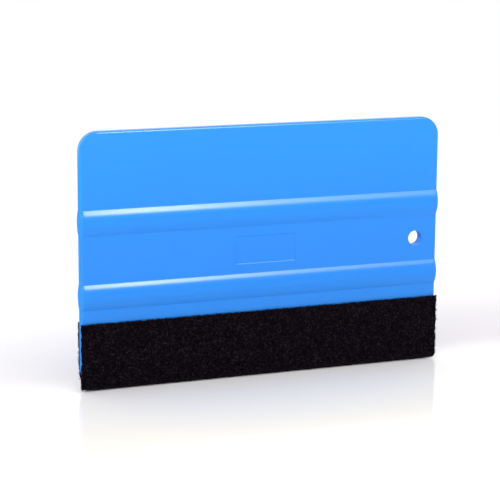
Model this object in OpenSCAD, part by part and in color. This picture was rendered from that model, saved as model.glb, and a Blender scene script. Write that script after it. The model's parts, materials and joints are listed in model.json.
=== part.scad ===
// Card squeegee with a felt-wrapped edge, for laying vinyl film.
// X runs along the felt edge, Y through the thickness with the front face towards -Y, and Z up.
// The origin is at the middle of the felt's foot, which the tool stands on.

/* [Card] */
// Width of the card, along its felt edge
card_w = 150; // [100:1:300]
// Height of the moulded card alone
card_h = 98.3; // [80:0.1:140]
// Thickness of the card between its ribs
card_t = 4; // [3.2:0.1:6]
// Radius of the card's four corners, seen from the front
corner_r = 7.5; // [5:0.5:12]
// Radius that rounds the card's edges, front and back
edge_r = 1; // [0.5:0.1:1.2]

/* [Stiffening ribs] */
// Width of a rib across its two foot blends
rib_w = 10.2; // [6:0.1:14]
// Height of a rib above the face that it stands on
rib_h = 1.6; // [0.8:0.1:2.5]
// Radius of the hollow blend at a rib's foot
rib_blend_r = 0.5; // [0.3:0.1:2]
// Distance between the centre lines of the two ribs
rib_pitch = 28.6; // [20:0.1:36]
// Plain face left between the felt's top edge and the lower rib
rib_gap = 5.3; // [2:0.1:10]

/* [Hang hole] */
// Diameter of the hang hole
hole_d = 5.8; // [3:0.1:8]
// Distance from the card's right end to the hole's centre
hole_inset = 9.6; // [7:0.1:20]
// Chamfer on the hole's two rims
hole_rim = 0.25; // [0.1:0.05:0.5]

/* [Blank panel] */
// Width of the blank recessed panel between the ribs
panel_w = 25.4; // [10:0.1:60]
// Height of the blank recessed panel
panel_h = 10.9; // [5:0.1:14]
// Depth of the panel's floor below the front face
panel_depth = 0.25; // [0.1:0.05:0.8]

/* [Felt edge] */
// Height of the felt's top edge above its foot
felt_h = 26.2; // [14:0.1:32]
// Thickness of the felt
felt_t = 0.9; // [0.6:0.1:1.5]
// How far the felt stands past each end of the card
felt_proud = 0.3; // [0.1:0.1:0.6]
// Width of the flat that the felt stands on
foot_flat = 0.8; // [0.4:0.1:1]
// How far the pinched corners of the felt rise off the foot
pinch_lift = 0.3; // [0.1:0.1:0.6]
// Radius of the felt's lower corners, seen from the front
felt_corner_r = 1.5; // [0.5:0.1:2.5]

/* [Adhesive film] */
// Thickness of the adhesive film between the card and the felt
film_t = 0.1; // [0.05:0.05:0.2]

/* [Hidden] */
$fn = 96;
// Length by which a cutting tool runs past the face that it cuts
overcut = 1;
// Lay of felt and film on one face, and the cavity that the card sits in
lay_t = felt_t + film_t;
cavity_fold_r = (card_t - foot_flat) / 2;
fold_r = cavity_fold_r + lay_t;
strip_w = card_w + 2 * felt_proud;
// Heights of the card
card_bottom = fold_r - edge_r;
card_top = card_bottom + card_h;
corner_x = card_w / 2 - corner_r;
low_corner_z = card_bottom + corner_r;
high_corner_z = card_top - corner_r;
cavity_corner_r = low_corner_z - lay_t;
pinch_w = strip_w / 2 - corner_x;
// Ribs: a round bead whose foot blends into the face, both arcs meeting at one tangent point
rib_half_w = rib_w / 2;
bead_r = (rib_half_w * rib_half_w / rib_h + rib_h) / 2 - rib_blend_r;
bead_y = card_t / 2 + rib_h - bead_r;
blend_y = card_t / 2 + rib_blend_r;
blend_share = bead_r / (bead_r + rib_blend_r);
tangent_y = bead_y + (blend_y - bead_y) * blend_share;
tangent_z = rib_half_w * blend_share;
low_rib_z = felt_h + rib_gap + rib_half_w;
high_rib_z = low_rib_z + rib_pitch;
// The hole and the panel share the line midway between the ribs
centre_line_z = (low_rib_z + high_rib_z) / 2;
hole_x = card_w / 2 - hole_inset;

// Carries a profile drawn as [y, z] along X, centred on X = 0.
module along_x(length)
{
    rotate([90, 0, 90])
        linear_extrude(height = length, center = true)
            children();
}

// Carries a profile drawn as [x, z] along Y, centred on Y = 0.
module along_y(length)
{
    rotate([90, 0, 0])
        linear_extrude(height = length, center = true)
            children();
}

// A bar of the card's thickness with both rounded edges at its +X side, from x = 0 to length.
module edge_profile(length, thickness)
{
    translate([0, -thickness / 2])
        square([length - edge_r, thickness]);
    translate([0, -thickness / 2 + edge_r])
        square([length, thickness - 2 * edge_r]);
    for (side = [-1, 1])
        translate([length - edge_r, side * (thickness / 2 - edge_r)])
            circle(r = edge_r);
}

// One rib on the +Y face, drawn about its own centre line and reaching back to mid-thickness.
module rib_profile()
{
    intersection()
    {
        translate([bead_y, 0])
            circle(r = bead_r);
        translate([0, -tangent_z])
            square([card_t / 2 + rib_h + overcut, 2 * tangent_z]);
    }
    difference()
    {
        polygon([
            [0, -rib_half_w],
            [blend_y, -rib_half_w],
            [tangent_y, -tangent_z],
            [tangent_y, tangent_z],
            [blend_y, rib_half_w],
            [0, rib_half_w]
        ]);
        for (side = [-1, 1])
            translate([blend_y, side * rib_half_w])
                circle(r = rib_blend_r);
    }
}

// The plate's full-height section, with its top and bottom edges rounded.
module plate_profile()
{
    middle = (card_bottom + card_top) / 2;
    for (side = [-1, 1])
        translate([0, middle])
            rotate(side * 90)
                edge_profile(card_h / 2, card_t);
}

// Both ribs on both faces.
module all_ribs_profile()
{
    for (height = [low_rib_z, high_rib_z])
        translate([0, height])
        {
            rib_profile();
            mirror([1, 0])
                rib_profile();
        }
}

// The end of the card beyond its corner centres, drawn at +X.
module card_end()
{
    translate([corner_x, 0, low_corner_z])
        linear_extrude(height = high_corner_z - low_corner_z)
            edge_profile(corner_r, card_t);
    translate([corner_x, 0, high_corner_z])
        corner_quarter(0);
    translate([corner_x, 0, low_corner_z])
        corner_quarter(-90);
    intersection()
    {
        along_x(card_w)
            all_ribs_profile();
        translate([corner_x, 0, card_bottom])
            linear_extrude(height = card_h)
                edge_profile(corner_r, card_t + 2 * rib_h);
    }
}

// A quarter of a rounded-rim disc about the Y axis, from a start angle above +X, turning upwards.
module corner_quarter(start)
{
    rotate([90, 0, 0])
        rotate([0, 0, start])
            rotate_extrude(angle = 90)
                edge_profile(corner_r, card_t);
}

// The hang hole with its two chamfered rims.
module hole_cut()
{
    hole_r = hole_d / 2;
    translate([hole_x, 0, centre_line_z])
        rotate([90, 0, 0])
        {
            cylinder(h = card_t + 2 * overcut, r = hole_r, center = true);
            for (side = [0, 1])
                mirror([0, 0, side])
                    translate([0, 0, card_t / 2 - hole_rim])
                        cylinder(h = 2 * hole_rim, r1 = hole_r, r2 = hole_r + 2 * hole_rim);
        }
}

// The blank panel sunk into the front face.
module panel_cut()
{
    translate([-panel_w / 2, -card_t / 2 - overcut, centre_line_z - panel_h / 2])
        cube([panel_w, overcut + panel_depth, panel_h]);
}

// The moulded plastic card: ribs, rounded edges, hang hole and blank panel.
module card_body()
{
    color([0.22, 0.58, 0.98])
    difference()
    {
        union()
        {
            along_x(2 * corner_x)
            {
                plate_profile();
                all_ribs_profile();
            }
            card_end();
            mirror([1, 0, 0])
                card_end();
        }
        hole_cut();
        panel_cut();
    }
}

// The U of the wrap, [y, z]: the card's cavity grown outwards by a thickness.
module wrap_profile(grow)
{
    half = card_t / 2 + grow;
    r = cavity_fold_r + grow;
    translate([-half, fold_r])
        square([2 * half, felt_h - fold_r]);
    translate([-foot_flat / 2, fold_r - r])
        square([foot_flat, r]);
    for (side = [-1, 1])
        intersection()
        {
            translate([side * foot_flat / 2, fold_r])
                circle(r = r);
            translate([side * half / 2, fold_r - half / 2])
                square([half, half], center = true);
        }
}

// The front outline of the wrap, [x, z], round the card's lower corners.
module wrap_outline(grow)
{
    r = cavity_corner_r + grow;
    translate([-strip_w / 2, low_corner_z])
        square([strip_w, felt_h - low_corner_z]);
    translate([-corner_x, low_corner_z - r])
        square([2 * corner_x, r]);
    for (side = [-1, 1])
        intersection()
        {
            translate([side * corner_x, low_corner_z])
                circle(r = r);
            translate([side * (corner_x + pinch_w / 2), low_corner_z - r / 2])
                square([pinch_w, r], center = true);
        }
}

// Everything inside the wrap out to a thickness.
module wrap_solid(grow)
{
    intersection()
    {
        along_x(strip_w)
            wrap_profile(grow);
        along_y(card_t + 2 * lay_t + overcut)
            wrap_outline(grow);
    }
}

// Flat lay beyond the card's round corners, where the back of the wrap closes on its front.
module pinched_lay(thickness, bottom, round_r)
{
    height = low_corner_z - bottom;
    for (side = [0, 1])
        mirror([side, 0, 0])
            translate([corner_x, -card_t / 2, bottom])
                rotate([90, 0, 0])
                    linear_extrude(height = thickness, center = true)
                    {
                        square([pinch_w - round_r, height]);
                        translate([0, round_r])
                            square([pinch_w, height - round_r]);
                        translate([pinch_w - round_r, round_r])
                            circle(r = round_r);
                    }
}

// Double-sided film: one U-shaped layer, doubled where the felt closes on itself.
module film_solid()
{
    wrap_solid(film_t);
    pinched_lay(2 * film_t, pinch_lift + felt_t, felt_corner_r);
}

// Adhesive film without the card's cavity.
module adhesive_film()
{
    color([0.72, 0.72, 0.72])
    difference()
    {
        film_solid();
        wrap_solid(0);
    }
}

// The felt strip, folded once round the card's lower edge.
module felt_strip()
{
    color([0.09, 0.08, 0.10])
    difference()
    {
        union()
        {
            wrap_solid(lay_t);
            pinched_lay(2 * lay_t, pinch_lift, felt_corner_r);
        }
        film_solid();
    }
}

card_body();
adhesive_film();
felt_strip();
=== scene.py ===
"""Card squeegee with a felt-wrapped edge: the visible surfaces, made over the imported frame.

X runs along the felt edge, Y from the front face to the back one, Z up from the felt's foot.
Every length is in metres.
"""

import json
import math

import bmesh
import bpy
import numpy as np
from bpy.props import FloatProperty, FloatVectorProperty, IntProperty, PointerProperty
from mathutils import Matrix, Vector


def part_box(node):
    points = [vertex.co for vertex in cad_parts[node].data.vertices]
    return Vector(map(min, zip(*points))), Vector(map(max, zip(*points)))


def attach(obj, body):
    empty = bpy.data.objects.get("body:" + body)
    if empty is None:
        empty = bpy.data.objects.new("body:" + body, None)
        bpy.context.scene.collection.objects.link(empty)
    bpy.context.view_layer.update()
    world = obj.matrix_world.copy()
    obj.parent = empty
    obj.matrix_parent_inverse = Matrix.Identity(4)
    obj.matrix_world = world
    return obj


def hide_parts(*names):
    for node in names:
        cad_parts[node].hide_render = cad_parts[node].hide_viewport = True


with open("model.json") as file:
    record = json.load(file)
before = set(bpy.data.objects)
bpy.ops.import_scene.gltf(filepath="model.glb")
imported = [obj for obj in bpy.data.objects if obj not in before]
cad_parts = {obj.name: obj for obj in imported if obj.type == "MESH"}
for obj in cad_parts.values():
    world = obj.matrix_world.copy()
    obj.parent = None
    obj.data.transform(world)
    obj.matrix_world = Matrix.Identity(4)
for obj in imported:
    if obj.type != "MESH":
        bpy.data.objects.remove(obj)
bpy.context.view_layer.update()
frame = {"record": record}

bl_info = {
    "name": "Card squeegee",
    "version": (1, 0, 0),
    "blender": (4, 5, 0),
    "location": "View3D > Sidebar > Squeegee",
    "description": "Makes a moulded card squeegee with a felt-wrapped edge",
    "category": "Add Mesh",
}

SEED = 20
MM = 0.001

# The frame's own sizes, which every default starts from.
CARD_LOW, CARD_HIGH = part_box("card_body")
FILM_LOW, FILM_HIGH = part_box("adhesive_film")
FELT_LOW, FELT_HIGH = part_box("felt_strip")
HANG_HOLE = next(m for m in frame["record"]["mounts"] if m["name"] == "hang_hole")
# Thickness of the adhesive film, and the card's thickness, which the film's outside and it give
FILM_T = 0.1 * MM
CARD_T = 2 * (FILM_HIGH.y - FILM_T)
# Half-width of the square left open round the hang hole, which the hole's own patch fills
HOLE_APRON = 5.0 * MM
# Fine and coarse grid steps of the felt, the loose fibres' roots and the film
FELT_STEPS = 0.38 * MM, 0.47 * MM
NAP_STEPS = 0.35 * MM, 0.5 * MM
FILM_STEPS = 0.5 * MM, 2.5 * MM


# ---------------------------------------------------------------- settings


def length(name, description, default, low=0.0, high=1.0):
    """A length in metres, shown in the scene's own units."""
    return FloatProperty(
        name=name, description=description, default=default, min=low, max=high,
        unit="LENGTH", subtype="DISTANCE", precision=5,
    )


def colour(name, description, default):
    """A linear colour."""
    return FloatVectorProperty(
        name=name, description=description, default=default, size=3, min=0.0, max=1.0, subtype="COLOR",
    )


class CardSettings(bpy.types.PropertyGroup):
    """Sizes and finish of the moulded card."""

    thickness: length("Thickness", "Thickness of the card between its ribs", CARD_T)
    corner_r: length("Corner radius", "Radius of the four corners, seen from the front", 7.5 * MM)
    edge_r: length("Edge radius", "Radius that rounds the edges, front and back", 1.0 * MM)
    rib_w: length("Rib width", "Width of a rib across its two foot blends", 10.2 * MM)
    rib_h: length("Rib height", "Height of a rib above its face", CARD_HIGH.y - CARD_T / 2)
    rib_blend_r: length("Rib blend", "Radius of the hollow blend at a rib's foot", 0.5 * MM)
    rib_pitch: length("Rib pitch", "Distance between the two ribs' centre lines", 28.6 * MM)
    hole_r: length("Hole radius", "Radius of the hang hole", HANG_HOLE["dims"]["r_mm"] * MM)
    hole_rim: length("Hole rim", "Radius that rounds the hang hole's rims", 0.35 * MM)
    panel_w: length("Panel width", "Width of the blank sunk panel", 25.4 * MM)
    panel_h: length("Panel height", "Height of the blank sunk panel", 10.9 * MM)
    panel_depth: length("Panel depth", "Depth of the blank sunk panel", 0.25 * MM)
    panel_wall: length("Panel wall", "Width of the slope round the panel", 0.2 * MM)
    plastic: colour("Plastic", "Colour of the moulded plastic", (0.004, 0.224, 0.79))


class FeltSettings(bpy.types.PropertyGroup):
    """Sizes and finish of the felt strip, its nap and the film under it."""

    felt_t: length("Felt thickness", "Thickness of the felt", 0.9 * MM)
    foot_flat: length("Foot flat", "Width of the flat that the felt stands on", 0.8 * MM)
    bond_t: length("Bond thickness", "Adhesive between the two sides where they close", 0.5 * MM)
    left_lift: length("Left lift", "Rise of the closed left corner off the foot", 0.75 * MM)
    right_lift: length("Right lift", "Rise of the closed right corner off the foot", 0.35 * MM)
    left_corner_r: length("Left corner radius", "Radius of the felt's lower left corner", 0.5 * MM)
    right_corner_r: length("Right corner radius", "Radius of the felt's lower right corner", 2.2 * MM)
    back_inset: length("Back inset", "How far the back side's ends stand inside the front's", 0.4 * MM)
    film_inset: length("Film inset", "How far the film's edges stand inside the felt's", 0.5 * MM)
    pill: length("Pilling", "Height of the felt's uneven surface", 0.055 * MM)
    ragged: length("Ragged edge", "How far the cut edges wander in and out", 0.13 * MM)
    nap_count: IntProperty(name="Fibres", description="Loose fibres on each side", default=9000, min=0)
    fringe_count: IntProperty(
        name="Edge fibres", description="Fibres along each side's edges", default=3000, min=0,
    )
    nap_length: length("Fibre length", "Usual length of a loose fibre", 1.1 * MM)
    nap_r: length("Fibre radius", "Radius of a loose fibre", 0.028 * MM)
    wool: colour("Wool", "Colour of the felt's body", (0.0018, 0.0010, 0.0020))
    loose_wool: colour("Loose wool", "Colour of the fibres and the felt's flecks", (0.024, 0.0165, 0.027))
    adhesive: colour("Adhesive", "Colour of the adhesive film", (0.52, 0.52, 0.50))


class StageSettings(bpy.types.PropertyGroup):
    """The camera, the lights and the floor."""

    lens: FloatProperty(name="Lens", description="Focal length on a 36 mm sensor", default=129.96)
    azimuth: FloatProperty(
        name="Azimuth", description="How far the camera stands round to the left",
        default=math.radians(21.766), subtype="ANGLE", unit="ROTATION",
    )
    elevation: FloatProperty(
        name="Elevation", description="How far the camera looks down",
        default=math.radians(11.351), subtype="ANGLE", unit="ROTATION",
    )
    roll: FloatProperty(
        name="Roll", description="Turn of the camera about its own axis",
        default=math.radians(0.369), subtype="ANGLE", unit="ROTATION",
    )
    distance: length("Distance", "From the camera to the object's middle plane", 706.6 * MM, high=10.0)
    target: FloatVectorProperty(
        name="Target", description="Point of the middle plane on the camera's axis",
        default=(-5.64 * MM, 0.0, 50.33 * MM), size=3, subtype="XYZ", unit="LENGTH",
    )
    floor: colour("Floor", "Colour of the floor", (0.975, 0.970, 0.965))
    floor_r: length("Floor radius", "Radius of the round floor", 900 * MM, high=10.0)
    sky: FloatProperty(name="Sky", description="Brightness of the white surroundings", default=1.0)


class SqueegeeSettings(bpy.types.PropertyGroup):
    """All the settings, in their groups."""

    card: PointerProperty(type=CardSettings)
    felt: PointerProperty(type=FeltSettings)
    stage: PointerProperty(type=StageSettings)


def settings():
    """The scene's settings."""
    return bpy.context.scene.card_squeegee


# ---------------------------------------------------------------- mesh tools


def grid_lines(stops, steps):
    """Lines through every stop, evenly spaced between two stops and no further apart than that gap's step."""
    parts = [
        np.linspace(a, b, max(1, math.ceil((b - a) / step - 1e-6)) + 1)[:-1]
        for a, b, step in zip(stops, stops[1:], steps)
    ]
    return np.append(np.concatenate(parts), stops[-1])


def smooth(x):
    """A smooth step: 0 below 0, 1 above 1, and a cubic with level ends between them."""
    x = np.clip(x, 0.0, 1.0)
    return x * x * (3 - 2 * x)


def stacked(x, y, z):
    """Three arrays of coordinates, spread to one shape, as an array of points."""
    return np.stack(np.broadcast_arrays(x, y, z), axis=-1)


def grid_quads(rows, cols):
    """The quads of a grid of points, counted row by row."""
    index = np.arange(rows * cols).reshape(rows, cols)
    return np.stack([index[:-1, :-1], index[1:, :-1], index[1:, 1:], index[:-1, 1:]], axis=-1)


def shell_object(name, patches):
    """One closed mesh object from grids of points, welded where their borders meet, with its faces outwards.

    A patch is a grid of points, or a grid with a mask of the quads to keep.
    """
    points, quads, count = [], [], 0
    for patch in patches:
        grid, keep = patch if isinstance(patch, tuple) else (patch, None)
        rows, cols = grid.shape[:2]
        cells = grid_quads(rows, cols) + count
        quads.append((cells[keep] if keep is not None else cells).reshape(-1, 4))
        points.append(grid.reshape(-1, 3))
        count += rows * cols
    mesh = bpy.data.meshes.new(name)
    mesh.from_pydata(np.concatenate(points), [], np.concatenate(quads))
    welded = bmesh.new()
    welded.from_mesh(mesh)
    bmesh.ops.remove_doubles(welded, verts=welded.verts, dist=0.002 * MM)
    bmesh.ops.dissolve_degenerate(welded, edges=welded.edges, dist=0.0005 * MM)
    bmesh.ops.delete(welded, geom=[v for v in welded.verts if not v.link_faces], context="VERTS")
    bmesh.ops.recalc_face_normals(welded, faces=welded.faces)
    welded.to_mesh(mesh)
    welded.free()
    mesh.shade_smooth()
    return linked(name, mesh)


def linked(name, mesh):
    """A new object of the scene that shows the mesh."""
    obj = bpy.data.objects.new(name, mesh)
    bpy.context.scene.collection.objects.link(obj)
    return obj


def finished(obj, material, slot_name, *nodes):
    """Gives a piece its material, lets it ride on the root body and stand for CAD nodes; the slot name is not
    used.
    """
    obj.data.materials.clear()
    obj.data.materials.append(material)
    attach(obj, "root")
    if nodes:
        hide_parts(*nodes)
    return obj


# ---------------------------------------------------------------- materials


class Nodes:
    """A short hand for a material's node tree."""

    def __init__(self, name):
        self.material = bpy.data.materials.new(name)
        self.material.use_nodes = True
        self.tree = self.material.node_tree
        self.tree.nodes.clear()
        self.output = self.add("ShaderNodeOutputMaterial")
        self.coordinates = self.add("ShaderNodeTexCoord")

    def add(self, kind, **values):
        """A node, with its options and its sockets' values set by name."""
        node = self.tree.nodes.new(kind)
        for key, value in values.items():
            socket = key.replace("_", " ")
            if hasattr(node, key):
                setattr(node, key, value)
            else:
                node.inputs[socket].default_value = value
        return node

    def link(self, source, target):
        """Joins an output to an input."""
        self.tree.links.new(source, target)

    def noise(self, scale, detail=2.0, roughness=0.5, stretch=(1.0, 1.0, 1.0)):
        """Cloudy noise on Object coordinates; scale is in cycles a metre."""
        mapping = self.add("ShaderNodeMapping")
        mapping.inputs["Scale"].default_value = stretch
        self.link(self.coordinates.outputs["Object"], mapping.inputs["Vector"])
        texture = self.add("ShaderNodeTexNoise")
        texture.inputs["Scale"].default_value = scale
        texture.inputs["Detail"].default_value = detail
        texture.inputs["Roughness"].default_value = roughness
        self.link(mapping.outputs["Vector"], texture.inputs["Vector"])
        return texture.outputs["Fac"]

    def maths(self, operation, first, second):
        """One sum on two outputs."""
        node = self.add("ShaderNodeMath", operation=operation)
        self.link(first, node.inputs[0])
        self.link(second, node.inputs[1])
        return node.outputs[0]

    def ranged(self, source, low, high, to_low, to_high, soft=False):
        """Carries low..high to to_low..to_high, held at both ends, and eased there if soft."""
        node = self.add("ShaderNodeMapRange", interpolation_type="SMOOTHSTEP" if soft else "LINEAR")
        for socket, value in zip(node.inputs[1:5], (low, high, to_low, to_high)):
            socket.default_value = value
        self.link(source, node.inputs["Value"])
        return node.outputs["Result"]

    def blended(self, factor, first, second):
        """A colour that goes from first to second with the factor."""
        node = self.add("ShaderNodeMix", data_type="RGBA")
        node.inputs[6].default_value = (*first, 1.0)
        node.inputs[7].default_value = (*second, 1.0)
        self.link(factor, node.inputs[0])
        return node.outputs[2]

    def bumped(self, layers):
        """A chain of bumps from (height, strength, distance) layers."""
        normal = None
        for height, strength, distance in layers:
            bump = self.add("ShaderNodeBump", Strength=strength, Distance=distance)
            self.link(height, bump.inputs["Height"])
            if normal:
                self.link(normal, bump.inputs["Normal"])
            normal = bump.outputs["Normal"]
        return normal

    def shader(self, **values):
        """The surface's Principled shader."""
        shader = self.add("ShaderNodeBsdfPrincipled")
        for key, value in values.items():
            shader.inputs[key.replace("_", " ")].default_value = value
        self.link(shader.outputs["BSDF"], self.output.inputs["Surface"])
        return shader


def scaled(rgb, factor):
    """A colour made lighter or darker."""
    return tuple(min(1.0, c * factor) for c in rgb)


def moulded_plastic(rgb):
    """Semi-gloss plastic: a fine orange peel, slow changes of gloss, and a little light inside its edges."""
    nodes = Nodes("moulded plastic")
    shader = nodes.shader(
        IOR=1.49, Specular_IOR_Level=0.44, Subsurface_Weight=0.12, Subsurface_Radius=(0.3, 0.8, 1.6),
        Subsurface_Scale=1.2 * MM,
    )
    clouds = nodes.noise(30.0, detail=1.0)
    flow = nodes.noise(24.0, detail=1.0, stretch=(0.25, 1.0, 1.0))
    nodes.link(nodes.blended(clouds, scaled(rgb, 0.97), scaled(rgb, 1.03)), shader.inputs["Base Color"])
    nodes.link(nodes.ranged(flow, 0.0, 1.0, 0.18, 0.28), shader.inputs["Roughness"])
    peel = nodes.noise(1500.0, detail=2.0)
    nodes.link(nodes.bumped([(peel, 0.18, 0.006 * MM)]), shader.inputs["Normal"])
    return nodes.material


def needled_felt(name, rgb, light_rgb):
    """Black needled wool: matted fibres as stretched noise at several sizes, with paler ones between."""
    nodes = Nodes(name)
    shader = nodes.shader(
        Roughness=0.95, Sheen_Weight=0.012, Sheen_Roughness=0.5, Sheen_Tint=(0.80, 0.70, 0.78, 1.0),
        Specular_IOR_Level=0.02,
    )
    matting = nodes.noise(1150.0, detail=2.0, roughness=0.6)
    strands = nodes.noise(1500.0, detail=2.0, roughness=0.6, stretch=(0.6, 1.0, 1.3))
    crossed = nodes.noise(1500.0, detail=2.0, roughness=0.6, stretch=(1.3, 1.0, 0.6))
    both = nodes.maths("MAXIMUM", strands, crossed)
    pale = nodes.ranged(both, 0.52, 0.68, 0.0, 1.0)
    shown = nodes.ranged(matting, 0.42, 0.62, 0.1, 1.0)
    fleck = nodes.maths("MULTIPLY", pale, shown)
    nodes.link(nodes.blended(fleck, rgb, light_rgb), shader.inputs["Base Color"])
    nodes.link(nodes.bumped([(matting, 0.9, 0.25 * MM), (both, 0.9, 0.15 * MM)]), shader.inputs["Normal"])
    return nodes.material


def adhesive_film(rgb):
    """Pale sticky film: slightly cloudy, with small air specks."""
    nodes = Nodes("adhesive film")
    shader = nodes.shader(IOR=1.47, Specular_IOR_Level=0.45)
    clouds = nodes.noise(300.0, detail=3.0)
    tone = nodes.blended(nodes.ranged(clouds, 0.35, 0.65, 0.0, 1.0), scaled(rgb, 0.85), scaled(rgb, 1.1))
    nodes.link(tone, shader.inputs["Base Color"])
    nodes.link(nodes.ranged(clouds, 0.3, 0.7, 0.35, 0.6), shader.inputs["Roughness"])
    specks = nodes.noise(2500.0, detail=1.0)
    nodes.link(nodes.bumped([(specks, 0.4, 0.02 * MM)]), shader.inputs["Normal"])
    return nodes.material


def white_floor(rgb, fade):
    """White sheet whose gloss fades with the distance from the object's line.

    A painted warm tint lies in front of the object, against the blue light that the card bounces there, and a
    painted soft shadow lies behind, lighter at the left.
    """
    nodes = Nodes("white floor")
    shader = nodes.shader(Roughness=0.07, IOR=1.5)
    place = nodes.add("ShaderNodeSeparateXYZ")
    nodes.link(nodes.coordinates.outputs["Object"], place.inputs["Vector"])
    along, back = place.outputs["X"], place.outputs["Y"]
    away = nodes.add("ShaderNodeMath", operation="ABSOLUTE")
    nodes.link(back, away.inputs[0])
    nodes.link(nodes.ranged(away.outputs[0], 0.0, fade, 0.40, 0.0), shader.inputs["Specular IOR Level"])
    aside = nodes.add("ShaderNodeMath", operation="ABSOLUTE")
    nodes.link(along, aside.inputs[0])
    # Painted shadow: a soft darker band on the floor behind the object's line, weaker at the left and gone
    # far to the sides
    painted_shade = nodes.maths(
        "MULTIPLY",
        nodes.ranged(back, -8 * MM, 26 * MM, 0.0, 1.0, soft=True),
        nodes.ranged(back, 20 * MM, 150 * MM, 1.0, 0.0, soft=True),
    )
    lighter_left = nodes.ranged(along, -80 * MM, 80 * MM, 0.50, 1.0, soft=True)
    ends = nodes.ranged(aside.outputs[0], 150 * MM, 500 * MM, 1.0, 0.0, soft=True)
    painted_shade = nodes.maths("MULTIPLY", nodes.maths("MULTIPLY", painted_shade, lighter_left), ends)
    # Painted warm tint on the floor in front of the object, set against the blue light that the card bounces
    # onto it
    painted_warm_rgb = 0.995 * rgb[0], 0.975 * rgb[1], 0.88 * rgb[2]
    painted_shade_rgb = 0.765 * rgb[0], 0.735 * rgb[1], 0.780 * rgb[2]
    painted_warm = nodes.blended(nodes.ranged(back, -70 * MM, -5 * MM, 1.0, 0.0), rgb, painted_warm_rgb)
    tone = nodes.blended(painted_shade, rgb, painted_shade_rgb)
    nodes.link(painted_warm, tone.node.inputs[6])
    nodes.link(tone, shader.inputs["Base Color"])
    grain = nodes.noise(900.0, detail=2.0)
    nodes.link(nodes.bumped([(grain, 0.05, 0.01 * MM)]), shader.inputs["Normal"])
    return nodes.material


# ---------------------------------------------------------------- the moulded card


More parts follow.
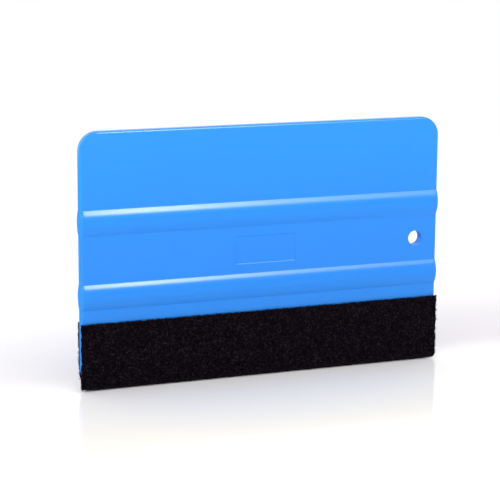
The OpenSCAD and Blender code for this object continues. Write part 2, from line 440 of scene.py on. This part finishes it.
class CardShape:
    """The card's surface, worked out from its settings."""

    def __init__(self, card):
        self.half_t = card.thickness / 2
        self.edge_r, self.corner_r = card.edge_r, card.corner_r
        self.half_w = CARD_HIGH.x
        self.bottom, self.top = CARD_LOW.z, CARD_HIGH.z
        self.corner_x = self.half_w - self.corner_r
        self.low_z, self.high_z = self.bottom + self.corner_r, self.top - self.corner_r
        self.rib_half_w, self.rib_h, self.blend_r = card.rib_w / 2, card.rib_h, card.rib_blend_r
        self.bead_r = (self.rib_half_w**2 / self.rib_h + self.rib_h) / 2 - self.blend_r
        self.tangent = self.rib_half_w * self.bead_r / (self.bead_r + self.blend_r)
        self.hole_x, self.centre_z = HANG_HOLE["pos_m"][0], HANG_HOLE["pos_m"][2]
        self.hole_r, self.hole_rim = card.hole_r, card.hole_rim
        self.rib_z = self.centre_z + np.array([-0.5, 0.5]) * card.rib_pitch
        self.panel = card.panel_w / 2, card.panel_h / 2
        self.panel_depth, self.panel_wall = card.panel_depth, card.panel_wall
        self.panel_round_r = 0.5 * MM
        self.inner_r = self.corner_r - self.edge_r
        self.rays = np.linspace(0, self.inner_r, 14)

    def rib_rise(self, offset):
        """Height of a rib at a distance from its centre line.

        A round bead, and then a hollow arc that is tangent to it and to the face.
        """
        away = np.minimum(np.abs(offset), self.rib_half_w)
        bead = np.sqrt(np.maximum(self.bead_r**2 - away**2, 0)) + self.rib_h - self.bead_r
        blend = self.blend_r - np.sqrt(np.maximum(self.blend_r**2 - (self.rib_half_w - away) ** 2, 0))
        return np.where(away < self.tangent, bead, blend)

    def half(self, z):
        """Half of the thickness at a height: the plain card, and the rise of each rib."""
        return self.half_t + self.rib_rise(z - self.rib_z[0]) + self.rib_rise(z - self.rib_z[1])

    def sunk(self, x, z):
        """Depth of the blank panel: level inside, with an even smooth slope across its wall all round."""
        dx = np.abs(x) - (self.panel[0] - self.panel_round_r)
        dz = np.abs(z - self.centre_z) - (self.panel[1] - self.panel_round_r)
        past = np.hypot(np.maximum(dx, 0), np.maximum(dz, 0)) + np.minimum(np.maximum(dx, dz), 0)
        outside = past - self.panel_round_r
        return self.panel_depth * smooth(0.5 - outside / self.panel_wall)

    def lines(self):
        """Grid lines along X and Z: close together across the ribs, the panel's wall and round the hole."""
        margin = 1.5 * self.panel_wall
        panel_x = self.panel[0] + np.array([-margin, margin])
        panel_z = self.panel[1] + np.array([-margin, margin])
        panel_z = self.centre_z + np.concatenate([-panel_z[::-1], panel_z])
        fine, face, wall = 0.5 * MM, 1.6 * MM, self.panel_wall / 2
        panel_stops = [-panel_x[1], -panel_x[0], panel_x[0], panel_x[1]]
        x_stops = [-self.corner_x, *panel_stops, self.hole_x - HOLE_APRON, self.corner_x]
        x_mid = grid_lines(x_stops, [face, wall, face, wall, face, fine])
        rib = [self.rib_half_w, self.tangent, -self.tangent, -self.rib_half_w]
        low, high = (sorted(z + r for r in rib) for z in self.rib_z)
        z_stops = [self.low_z, *low, *panel_z, *high, self.high_z]
        blend, bead = self.blend_r / 10, 0.3 * MM
        rib_steps, panel_steps = [blend, bead, blend], [fine, wall, fine, wall, fine]
        z_mid = grid_lines(z_stops, [face, *rib_steps, *panel_steps, *rib_steps, face])
        x = np.concatenate([-self.corner_x - self.rays[:0:-1], x_mid, self.corner_x + self.rays[1:]])
        z = np.concatenate([self.low_z - self.rays[:0:-1], z_mid, self.high_z + self.rays[1:]])
        return x, z

    def face(self, side, x, z):
        """A point of the front (-1) or back (1) face."""
        depth = self.sunk(x, z) if side < 0 else 0.0
        return stacked(x, side * (self.half(z) - depth), z)

    def patches(self):
        """Every patch of the closed surface."""
        x, z = self.lines()
        across, up = np.meshgrid(x, z)
        middle_x, middle_z = (x[:-1] + x[1:]) / 2, (z[:-1] + z[1:]) / 2
        cell_x, cell_z = np.meshgrid(middle_x, middle_z)
        corner = (np.abs(cell_x) > self.corner_x) & ((cell_z < self.low_z) | (cell_z > self.high_z))
        # The square left open round the hole, on the grid lines nearest to the apron's sides
        cols = [int(np.abs(x - (self.hole_x + s * HOLE_APRON)).argmin()) for s in (-1, 1)]
        rows = [int(np.abs(z - (self.centre_z + s * HOLE_APRON)).argmin()) for s in (-1, 1)]
        window = (cell_x > x[cols[0]]) & (cell_x < x[cols[1]])
        window &= (cell_z > z[rows[0]]) & (cell_z < z[rows[1]])
        keep = ~(corner | window)
        made = [(self.face(side, across, up), keep) for side in (-1, 1)]
        made.append(self.hole_patch(x[cols[0] : cols[1] + 1], z[rows[0] : rows[1] + 1]))
        made += [self.corner_patch(side, sx, sz) for side in (-1, 1) for sx in (-1, 1) for sz in (-1, 1)]
        made.append(self.edge_patch(x, z))
        return made

    def corner_angles(self):
        """The angles of a corner's quarter turn."""
        return np.linspace(0, math.pi / 2, 25)

    def corner_patch(self, side, sx, sz):
        """A flat quarter disc between a corner's centre and the start of the rounded edge."""
        angle, ray = np.meshgrid(self.corner_angles(), self.rays)
        centre_z = self.low_z if sz < 0 else self.high_z
        x = sx * (self.corner_x + ray * np.cos(angle))
        z = centre_z + sz * ray * np.sin(angle)
        return self.face(side, x, z)

    def outline(self, x, z):
        """The outline, anticlockwise from the bottom: points of the inner line, and the ways out of it."""
        mid_x = x[(x >= -self.corner_x - 1e-9) & (x <= self.corner_x + 1e-9)]
        mid_z = z[(z >= self.low_z - 1e-9) & (z <= self.high_z + 1e-9)]
        turn = self.corner_angles()[1:-1]
        right, top = self.corner_x + self.inner_r, self.high_z + self.inner_r
        left, bottom = -right, self.low_z - self.inner_r
        # Each straight side with its level and its way out, and the centre of the corner that follows it
        sides = (
            (mid_x, bottom, (0, -1), (self.corner_x, self.low_z)),
            (mid_z, right, (1, 0), (self.corner_x, self.high_z)),
            (mid_x[::-1], top, (0, 1), (-self.corner_x, self.high_z)),
            (mid_z[::-1], left, (-1, 0), (-self.corner_x, self.low_z)),
        )
        runs = []
        for along, level, normal, centre in sides:
            flat = np.full_like(along, level)
            where = np.stack([along, flat] if normal[0] == 0 else [flat, along], -1)
            runs.append((where, np.broadcast_to(np.array(normal, float), where.shape)))
            start = math.atan2(normal[1], normal[0])
            facing = np.stack([np.cos(start + turn), np.sin(start + turn)], -1)
            runs.append((np.array(centre) + self.inner_r * facing, facing))
        places = np.concatenate([r[0] for r in runs])
        facings = np.concatenate([r[1] for r in runs])
        return np.vstack([places, places[:1]]), np.vstack([facings, facings[:1]])

    def edge_patch(self, x, z):
        """The edge: a quarter round, a flat and a quarter round, carried along the whole outline."""
        places, facings = self.outline(x, z)
        turn = np.linspace(0, math.pi / 2, 10)
        half = self.half(places[:, 1])[:, None]
        level = half - self.edge_r
        front = -(level + self.edge_r * np.cos(turn))
        across = np.linspace(1, -1, 7)[1:-1]
        depth = np.hstack([front, -level * across, -front[:, ::-1]])
        out = np.concatenate([np.sin(turn), np.ones(len(across)), np.sin(turn[::-1])]) * self.edge_r
        where = places[:, None, :] + out[None, :, None] * facings[:, None, :]
        return stacked(where[..., 0], depth, where[..., 1])

    def hole_patch(self, x, z):
        """The hang hole: from the open square in on the front, round the rim, through, and out behind."""
        square = np.concatenate([
            np.stack([x, np.full_like(x, z[0])], -1)[:-1],
            np.stack([np.full_like(z, x[-1]), z], -1)[:-1],
            np.stack([x[::-1], np.full_like(x, z[-1])], -1)[:-1],
            np.stack([np.full_like(z, x[0]), z[::-1]], -1),
        ])
        centre = np.array([self.hole_x, self.centre_z])
        away = square - centre
        reach = np.linalg.norm(away, axis=1)[:, None]
        facing = away / reach
        mouth = self.hole_r + self.hole_rim
        share = np.linspace(1, 0, 9)[None, :-1]
        apron = mouth + (reach - mouth) * share
        turn = np.linspace(0, math.pi / 2, 8)
        rim_r = mouth - self.hole_rim * np.sin(turn)
        rim_y = self.half_t - self.hole_rim * (1 - np.cos(turn))
        wall_y = np.linspace(rim_y[-1], -rim_y[-1], 9)[1:-1]
        bore = np.concatenate([rim_r, np.full(len(wall_y), self.hole_r), rim_r[::-1]])
        radius = np.hstack([apron, np.broadcast_to(bore, (len(square), len(bore))), apron[:, ::-1]])
        level = np.full(share.size, self.half_t)
        depth = np.concatenate([level, rim_y, wall_y, -rim_y[::-1], -level])
        where = centre + radius[..., None] * facing[:, None, :]
        return stacked(where[..., 0], -depth[None, :], where[..., 1])


# ---------------------------------------------------------------- the folded felt


class WrapShape:
    """The felt folded round the card's lower edge, and closed on itself beyond the card's round corners."""

    def __init__(self, felt, card):
        self.half_w, self.top, self.half_y = FELT_HIGH.x, FELT_HIGH.z, FELT_HIGH.y
        self.felt_t, self.bond_t, self.foot = felt.felt_t, felt.bond_t, felt.foot_flat / 2
        self.lifts = felt.left_lift, felt.right_lift
        self.corner_rs = felt.left_corner_r, felt.right_corner_r
        self.back_inset = felt.back_inset
        self.fold_r = self.half_y - self.foot
        self.corner_x = CARD_HIGH.x - card.corner_r
        self.corner_z = CARD_LOW.z + card.corner_r
        self.closed_y = -self.half_y + 2 * self.felt_t + self.bond_t

    def edge_distance(self, x, z):
        """Height above the wrap's lower outline, measured towards the corner's centre beyond it."""
        past = np.maximum(np.abs(x) - self.corner_x, 0)
        down = np.maximum(self.corner_z - z, 0)
        return np.where(z < self.corner_z, self.corner_z - np.hypot(past, down), z)

    def opened(self, x, z):
        """How far the back stands off the front: a quarter ellipse from closed, 0, to fully open, 1."""
        below = 0.4 * MM
        share = (self.edge_distance(x, z) + below) / (self.fold_r + below)
        share = np.minimum((share + np.sqrt(share**2 + 0.004)) / 2, 1.0)
        return np.sqrt(np.maximum(1 - (1 - share) ** 2, 0))

    def fold_curves(self, share):
        """The fold's section [y, z] at shares of its length: round under the card, closed at the ends."""
        turn = np.linspace(0, math.pi / 2, 40)
        r = self.fold_r
        half_y = self.foot + r * np.sin(turn)
        rise = r - r * np.cos(turn)
        wide = np.stack([np.concatenate([-half_y[::-1], half_y]), np.concatenate([rise[::-1], rise])], -1)
        tight_r = (self.half_y + self.closed_y) / 2
        centre_y = -self.half_y + tight_r
        sweep = np.linspace(-math.pi / 2, math.pi / 2, 60)
        tight = np.stack([centre_y + tight_r * np.sin(sweep), tight_r * (1 - np.cos(sweep))], -1)
        tight = np.vstack([[-self.half_y, r], tight, [self.closed_y, r]])
        curves = []
        for curve in (wide, tight):
            run = np.concatenate([[0], np.cumsum(np.linalg.norm(np.diff(curve, axis=0), axis=1))])
            curves.append([np.interp(share * run[-1], run, curve[:, i]) for i in (0, 1)])
        return curves

    def surface(self, x, rises, share, inset=0.0):
        """The felt's outer side, along X and down the front, round the fold and up the back.

        rises are the heights above the fold from low to high, share the places along the fold, and
        inset draws both ends in. Rows run along X.
        """
        x = x[:, None]
        lift = np.where(x < 0, *self.lifts)
        corner_r = np.where(x < 0, *self.corner_rs)
        closed = 1 - self.opened(x, self.fold_r)
        (wide_y, wide_z), (tight_y, tight_z) = self.fold_curves(share)
        tight_z = lift + tight_z * (1 - lift / self.fold_r)
        fold_y = (1 - closed) * wide_y + closed * tight_y
        fold_z = (1 - closed) * wide_z + closed * tight_z
        front_z = np.broadcast_to(rises[::-1], (len(x), len(rises)))
        back_z = front_z[:, ::-1]
        back_y = self.closed_y + (self.half_y - self.closed_y) * self.opened(x, back_z)
        y = np.hstack([np.full(front_z.shape, -self.half_y), fold_y[:, 1:-1], back_y])
        z = np.hstack([front_z, fold_z[:, 1:-1], back_z])
        # The lower corners are cut round, and the back side's ends stand a little inside the front's
        low = np.clip(corner_r - (z - lift), 0, corner_r)
        cut = corner_r - np.sqrt(corner_r**2 - low**2)
        behind = np.concatenate([np.zeros(len(rises)), share[1:-1], np.ones(len(rises))])
        near_end = np.clip((np.abs(x) - self.corner_x) / (self.half_w - self.corner_x), 0, 1) ** 2
        drawn_in = near_end * (cut + self.back_inset * behind + inset)
        return stacked(x - np.sign(x) * drawn_in, y, z)

    def ragged(self, grid, size, rng):
        """How far each point moves so that the cut edges wander: up at the tops and outwards at the ends.

        Each shift is a sum of waves along its own edge, and fades to nothing a millimetre in from it.
        """
        depth = 1.0 * MM
        count, short, long = 60, 0.8 * MM, 4.0 * MM
        x, y, z = (grid[..., i] for i in range(3))
        # The back's edge wanders apart from the front's
        apart = 50 * y
        tops = smooth((z - self.top) / depth + 1)
        up = tops * np.clip(waves(x + apart, 0 * x, count, short, long, rng), -2, 1.5)
        ends = smooth((np.abs(x) - self.half_w) / depth + 1)
        out = ends * np.clip(waves(z + apart, 0 * z, count, short, long, rng), -2, 1.0)
        return size * stacked(np.sign(x) * out, 0.0, up)

    def lines(self, fine, coarse):
        """Lines along X, heights up the sides and shares along the fold."""
        x = grid_lines([-self.half_w, -self.corner_x, self.corner_x, self.half_w], [fine, coarse, fine])
        rises = grid_lines([self.fold_r, self.corner_z, self.top], [fine, coarse])
        return x, rises, np.linspace(0, 1, 25)


def normals_of(grid):
    """Unit normals of a grid of points, from the cross product of its two directions."""
    along = np.gradient(grid, axis=0)
    down = np.gradient(grid, axis=1)
    normal = np.cross(down, along)
    return normal / np.maximum(np.linalg.norm(normal, axis=-1, keepdims=True), 1e-12)


def waves(run, rise, count, short, long, rng):
    """Uneven ground: a sum of plane waves in random directions, between a short and a long wavelength."""
    total = np.zeros(np.broadcast(run, rise).shape)
    for _ in range(count):
        heading, phase = rng.uniform(0, 2 * math.pi, 2)
        size = math.exp(rng.uniform(math.log(short), math.log(long)))
        number = 2 * math.pi / size
        total += np.sin(number * (run * math.cos(heading) + rise * math.sin(heading)) + phase)
    return total / math.sqrt(count / 2)


def sheet_patches(outer, inner, edge_out, edge_up):
    """A closed sheet: its two sides, and a rounded border at its ends and along its two top edges."""
    turn = np.linspace(0, math.pi, 7)[:, None, None]

    def border(a, b, push):
        """Half a turn from a to b, pushed out by its own share of a vector."""
        return (a + b) / 2 + (a - b) / 2 * np.cos(turn) + push * np.sin(turn)

    out = np.array([edge_out, 0, 0])
    up = np.array([0, 0, edge_up])
    return [
        outer,
        inner[:, ::-1],
        border(outer[0], inner[0], -out),
        border(outer[-1], inner[-1], out),
        border(outer[:, 0], inner[:, 0], up),
        border(outer[:, -1], inner[:, -1], up),
    ]


def spindle_object(name, start, heading, lift, size, radius):
    """Loose fibres as one mesh, each with a three-sided ring at two stations between its two tips.

    A fibre's place is its start, plus its heading times the station, plus an arch along its lift, plus a
    sideways curl times the station squared, all times its size.
    """
    count = len(start)
    bend = np.cross(heading, lift)
    rng = np.random.default_rng(SEED + count)
    most = 0.35
    curl, arch = rng.uniform(-most, most, (2, count, 1, 1))
    arch = 0.10 + 0.22 * np.abs(arch) / most
    s = np.array([0.0, 0.28, 0.62, 1.0])[None, :, None]
    size = size[:, None, None]
    centre = (
        start[:, None] + heading[:, None] * size * s
        + lift[:, None] * size * arch * 4 * s * (1 - 0.62 * s) * 0.5
        + bend[:, None] * size * curl * s**2
    )
    # A fibre that would reach below the floor is raised until it lies on it
    sunk = np.maximum(radius - centre[..., 2].min(axis=1), 0)
    centre[..., 2] += sunk[:, None]
    corner = (np.arange(3) * 2 * math.pi / 3)[None, None, :, None]
    ring = np.cos(corner) * lift[:, None, None] + np.sin(corner) * bend[:, None, None]
    rings = centre[:, 1:3, None] + radius[:, None, None, None] * ring
    points = np.concatenate([centre[:, :1], rings.reshape(count, 6, 3), centre[:, 3:]], axis=1)
    # Points 0 and 7 are the tips, 1 to 3 the first ring and 4 to 6 the second
    faces = []
    for i in range(3):
        j = (i + 1) % 3
        faces += [(0, 1 + i, 1 + j), (7, 4 + j, 4 + i), (1 + i, 4 + i, 4 + j), (1 + i, 4 + j, 1 + j)]
    faces = np.array(faces)[None] + 8 * np.arange(count)[:, None, None]
    mesh = bpy.data.meshes.new(name)
    mesh.from_pydata(points.reshape(-1, 3), [], faces.reshape(-1, 3))
    mesh.shade_smooth()
    return linked(name, mesh)


# ---------------------------------------------------------------- operators


class SQUEEGEE_OT_card(bpy.types.Operator):
    """Make the moulded card with its ribs, hang hole and blank panel"""

    bl_idname = "squeegee.card"
    bl_label = "Moulded card"

    def execute(self, context):
        card = settings().card
        piece = shell_object("moulded_card", CardShape(card).patches())
        finished(piece, moulded_plastic(card.plastic), "card_plastic", "card_body")
        return {"FINISHED"}


class SQUEEGEE_OT_film(bpy.types.Operator):
    """Make the adhesive film between the felt and the card"""

    bl_idname = "squeegee.film"
    bl_label = "Adhesive film"

    def execute(self, context):
        felt, card = settings().felt, settings().card
        wrap = WrapShape(felt, card)
        x, rises, share = wrap.lines(*FILM_STEPS)
        rises = np.minimum(rises, wrap.top - felt.film_inset)
        outer = wrap.surface(x, rises, share, felt.film_inset)
        normal = normals_of(outer)
        clear = 0.01 * MM
        film_out = outer - normal * (felt.felt_t + clear)
        film_in = outer - normal * (felt.felt_t + FILM_T)
        piece = shell_object("bond_film", sheet_patches(film_out, film_in, 0.0, 0.0))
        finished(piece, adhesive_film(felt.adhesive), "adhesive", "adhesive_film")
        return {"FINISHED"}


class SQUEEGEE_OT_felt(bpy.types.Operator):
    """Make the felt strip, folded round the card's lower edge"""

    bl_idname = "squeegee.felt"
    bl_label = "Felt strip"

    def execute(self, context):
        felt, card = settings().felt, settings().card
        wrap = WrapShape(felt, card)
        outer = wrap.surface(*wrap.lines(*FELT_STEPS))
        normal = normals_of(outer)
        inner = outer - normal * felt.felt_t
        run = outer[..., 0]
        rise = np.cumsum(np.linalg.norm(np.diff(outer, axis=1, prepend=outer[:, :1]), axis=-1), axis=1)
        rng = np.random.default_rng(SEED)
        ground = np.clip(waves(run, rise, 70, 0.9 * MM, 5.0 * MM, rng), -1.6, 1.6)
        ragged = wrap.ragged(outer, felt.ragged, rng)
        outer = outer + normal * felt.pill * (ground - 1.0)[..., None] + ragged
        inner = inner + ragged
        piece = shell_object("felt_wrap", sheet_patches(outer, inner, 0.12 * MM, 0.12 * MM))
        finished(piece, needled_felt("needled felt", felt.wool, felt.loose_wool), "felt", "felt_strip")
        return {"FINISHED"}

    def flat_length(self, wrap):
        """The cut's length across the fold, along the middle of its thickness."""
        middle_r = wrap.fold_r - wrap.felt_t / 2
        return 2 * (wrap.top - wrap.fold_r) + math.pi * middle_r + 2 * wrap.foot


class SQUEEGEE_OT_nap(bpy.types.Operator):
    """Make the felt's loose fibres"""

    bl_idname = "squeegee.nap"
    bl_label = "Loose fibres"

    def execute(self, context):
        felt, card = settings().felt, settings().card
        wrap = WrapShape(felt, card)
        outer = wrap.surface(*wrap.lines(*NAP_STEPS))
        normal = normals_of(outer)
        middle = outer.shape[1] // 2
        near_foot = middle - 8, middle + 8
        material = needled_felt("loose wool", felt.loose_wool, scaled(felt.loose_wool, 2.2))
        sides = (
            ("nap_front", slice(0, middle), slice(0, 1), near_foot[0], (0.0, -1.0, -0.2)),
            ("nap_back", slice(middle, None), slice(-1, None), near_foot[1], (0.0, 1.0, -0.2)),
        )
        for turn, (name, part, top, foot, away) in enumerate(sides):
            rng = np.random.default_rng(SEED + 1 + turn)
            lying = self.lying(outer[:, part], normal[:, part], felt.nap_count, rng)
            rows = (
                (outer[:, top][:, 0], normal[:, top][:, 0], (0.0, 0.0, 1.0), 0.60),
                (outer[:, foot], normal[:, foot], away, 0.30),
                (outer[0, part], normal[0, part], (-1.0, 0.0, 0.0), 0.05),
                (outer[-1, part], normal[-1, part], (1.0, 0.0, 0.0), 0.05),
            )
            fringes = [
                self.fringe(line, facing, outward, round(felt.fringe_count * share), rng)
                for line, facing, outward, share in rows
            ]
            where, heading, facing = (np.concatenate(columns) for columns in zip(lying, *fringes))
            count = len(where)
            size = felt.nap_length * rng.uniform(0.5, 1.5, count)
            size[felt.nap_count :] *= 0.75
            radius = felt.nap_r * rng.uniform(0.7, 1.3, count)
            radius[felt.nap_count :] *= 1.4
            piece = spindle_object(name, where, heading, facing, size, radius)
            finished(piece, material, "felt")
        return {"FINISHED"}

    def lying(self, grid, normal, count, rng):
        """Roots spread evenly by the grid's area, with headings along the felt and its normals."""
        across = grid[1:, :-1] - grid[:-1, :-1]
        down = grid[:-1, 1:] - grid[:-1, :-1]
        area = np.linalg.norm(np.cross(across, down), axis=-1).ravel()
        cell = rng.choice(area.size, count, p=area / area.sum())
        i, j = np.unravel_index(cell, across.shape[:2])
        u, v = rng.random((2, count, 1))
        facing = normal[i, j]
        heading = np.cross(facing, rng.normal(size=(count, 3)))
        heading /= np.linalg.norm(heading, axis=1, keepdims=True)
        root_depth = 0.08 * MM
        return grid[i, j] + across[i, j] * u + down[i, j] * v - facing * root_depth, heading, facing

    def fringe(self, line, facing, outward, count, rng):
        """Roots at random places along an edge line, with headings scattered about the way out of it."""
        place = rng.uniform(0, len(line) - 1.001, count)
        i = place.astype(int)
        share = (place - i)[:, None]
        where = line[i] * (1 - share) + line[i + 1] * share
        heading = np.array(outward) + rng.normal(scale=0.6, size=(count, 3))
        heading /= np.linalg.norm(heading, axis=1, keepdims=True)
        lift = facing[i] - heading * np.sum(facing[i] * heading, axis=1, keepdims=True)
        lift /= np.maximum(np.linalg.norm(lift, axis=1, keepdims=True), 1e-9)
        behind, below = 0.30 * MM, 0.25 * MM
        where = where - heading * behind - facing[i] * below * rng.random((count, 1))
        return where, heading, lift


class SQUEEGEE_OT_stage(bpy.types.Operator):
    """Make the camera, the lights, the white surroundings and the floor"""

    bl_idname = "squeegee.stage"
    bl_label = "Stage"

    def execute(self, context):
        stage = settings().stage
        self.camera(context.scene, stage)
        self.surroundings(context.scene, stage)
        floor = self.floor(stage)
        self.strip_lights()
        self.fill_lights(bpy.data.objects["moulded_card"], floor)
        self.flags()
        context.scene.view_settings.view_transform = "Standard"
        return {"FINISHED"}

    def camera(self, scene, stage):
        """The camera stands back along its axis from the target, turned about it by the roll."""
        a, e = stage.azimuth, stage.elevation
        back = Vector((-math.sin(a) * math.cos(e), -math.cos(a) * math.cos(e), math.sin(e)))
        turn = (-back).to_track_quat("-Z", "Y").to_matrix() @ Matrix.Rotation(stage.roll, 3, "Z")
        data = bpy.data.cameras.new("camera")
        data.lens, data.sensor_width = stage.lens, 36.0
        data.clip_start, data.clip_end = 0.02, 50.0
        camera = bpy.data.objects.new("camera", data)
        scene.collection.objects.link(camera)
        place = Vector(stage.target) + back * stage.distance
        camera.matrix_world = Matrix.Translation(place) @ turn.to_4x4()
        scene.camera = camera

    def surroundings(self, scene, stage):
        """Even white light from every side."""
        world = bpy.data.worlds.new("white surroundings")
        world.use_nodes = True
        background = world.node_tree.nodes["Background"]
        background.inputs["Color"].default_value = (1.0, 1.0, 1.0, 1.0)
        background.inputs["Strength"].default_value = stage.sky
        scene.world = world

    def floor(self, stage):
        """A round floor at the height that the felt stands on."""
        turn = np.linspace(0, 2 * math.pi, 129)
        ray = np.array([0.0, 0.3, 0.7, 1.0]) * stage.floor_r
        grid = stacked(np.outer(ray, np.cos(turn)), np.outer(ray, np.sin(turn)), FELT_LOW.z)
        floor = shell_object("floor", [grid])
        floor.data.materials.append(white_floor(stage.floor, 86 * MM))
        return floor

    def strip_lights(self):
        """A row of soft boxes above the front, which only the gloss shows, dimmer towards the right."""
        middle, rise = Vector((0.0, -0.265, 0.359)), 0.20
        aim = Vector((0.0, 0.0, 0.065))
        stops = (38, 70, 90, 108, 124, 141, 157, 174, 191, 225, 268, 330)
        radiances = (25.0, 25.5, 17.5, 12.8, 10.8, 9.3, 7.0, 5.5, 4.7, 4.1, 3.6)
        for left, right, radiance in zip(stops, stops[1:], radiances):
            centre = middle + Vector(((left + right) / 2 * MM, 0.0, 0.0))
            size = (right - left) * MM, rise
            lamp = self.softbox("front softbox", size, radiance, centre, aim + centre - middle)
            lamp.visible_diffuse = False

    def fill_lights(self, card, floor):
        """Matt fills: before the card's top, at its left end and above it, and one over the floor's front."""
        for name, size, radiance, centre, aim in (
            ("front fill", (0.50, 0.04), 1.70, (0.0, -0.072, 0.115), (0.0, 0.0, 0.115)),
            ("left fill", (0.14, 0.20), 4.8, (-0.32, 0.0, 0.110), (-0.075, 0.0, 0.065)),
            ("top fill", (0.40, 0.20), 1.0, (0.0, 0.0, 0.350), (0.0, 0.0, 0.0)),
        ):
            self.lit_only(self.softbox(name, size, radiance, Vector(centre), Vector(aim)), card)
        over, aim = Vector((0.0, -0.50, 0.60)), Vector((0.0, -0.05, 0.0))
        fill = self.softbox("floor fill", (1.2, 0.6), 1.2, over, aim)
        fill.data.color = (1.0, 0.93, 0.95)
        self.lit_only(fill, floor)

    def lit_only(self, lamp, receiver):
        """Keeps a lamp's light to one object, and out of its gloss."""
        lamp.visible_glossy = False
        lit = bpy.data.collections.new(lamp.name)
        lit.objects.link(receiver)
        lamp.light_linking.receiver_collection = lit

    def flags(self):
        """Two dark cards that only gloss meets: one lies behind the left end, one hangs behind the card."""
        black = Nodes("black flag")
        dark = black.add("ShaderNodeEmission", Strength=0.25)
        clear = black.add("ShaderNodeBsdfTransparent")
        side = black.add("ShaderNodeNewGeometry")
        mixed = black.add("ShaderNodeMixShader")
        black.link(side.outputs["Backfacing"], mixed.inputs[0])
        black.link(dark.outputs[0], mixed.inputs[1])
        black.link(clear.outputs[0], mixed.inputs[2])
        black.link(mixed.outputs[0], black.output.inputs["Surface"])
        run = np.linspace(0.0, 1.0, 5)
        lying = stacked(0.10 - 0.80 * run[None, :], 0.015 + 0.60 * run[:, None], 1.0 * MM)
        hanging = stacked(-0.30 + 1.30 * run[:, None], 0.50, 0.125 + 0.40 * run[None, :])
        for name, grid in (("lying flag", lying), ("hanging flag", hanging)):
            flag = shell_object(name, [grid])
            flag.data.materials.append(black.material)
            flag.visible_camera = flag.visible_shadow = False
            flag.visible_diffuse = flag.visible_transmission = False

    def softbox(self, name, size, radiance, centre, aim):
        """A rectangular light of even radiance that faces its aim, and that the camera doesn't see."""
        data = bpy.data.lights.new(name, "AREA")
        data.shape, data.size, data.size_y = "RECTANGLE", *size
        data.energy = radiance * math.pi * size[0] * size[1]
        lamp = bpy.data.objects.new(name, data)
        bpy.context.scene.collection.objects.link(lamp)
        lamp.location = centre
        lamp.rotation_mode = "QUATERNION"
        lamp.rotation_quaternion = (aim - centre).to_track_quat("-Z", "Y")
        lamp.visible_camera = False
        return lamp


class SQUEEGEE_PT_panel(bpy.types.Panel):
    """Lists the settings and the pieces"""

    bl_label = "Card squeegee"
    bl_idname = "SQUEEGEE_PT_panel"
    bl_space_type = "VIEW_3D"
    bl_region_type = "UI"
    bl_category = "Squeegee"

    def draw(self, context):
        whole = context.scene.card_squeegee
        for title, group in (("Card", whole.card), ("Felt", whole.felt), ("Stage", whole.stage)):
            box = self.layout.box()
            box.label(text=title)
            for name in group.__annotations__:
                box.prop(group, name)
        for operator in PIECES:
            self.layout.operator(operator.bl_idname)


PIECES = (SQUEEGEE_OT_card, SQUEEGEE_OT_film, SQUEEGEE_OT_nap, SQUEEGEE_OT_felt, SQUEEGEE_OT_stage)
CLASSES = (CardSettings, FeltSettings, StageSettings, SqueegeeSettings, *PIECES, SQUEEGEE_PT_panel)


def register():
    """Registers the classes and hangs the settings on the scene."""
    for kind in CLASSES:
        bpy.utils.register_class(kind)
    bpy.types.Scene.card_squeegee = PointerProperty(type=SqueegeeSettings)


def unregister():
    """Takes away what register made."""
    del bpy.types.Scene.card_squeegee
    for kind in reversed(CLASSES):
        bpy.utils.unregister_class(kind)


def main():
    """Makes every piece in order."""
    register()
    bpy.ops.squeegee.card()
    bpy.ops.squeegee.film()
    bpy.ops.squeegee.nap()
    bpy.ops.squeegee.felt()
    bpy.ops.squeegee.stage()


if __name__ == "__main__":
    main()
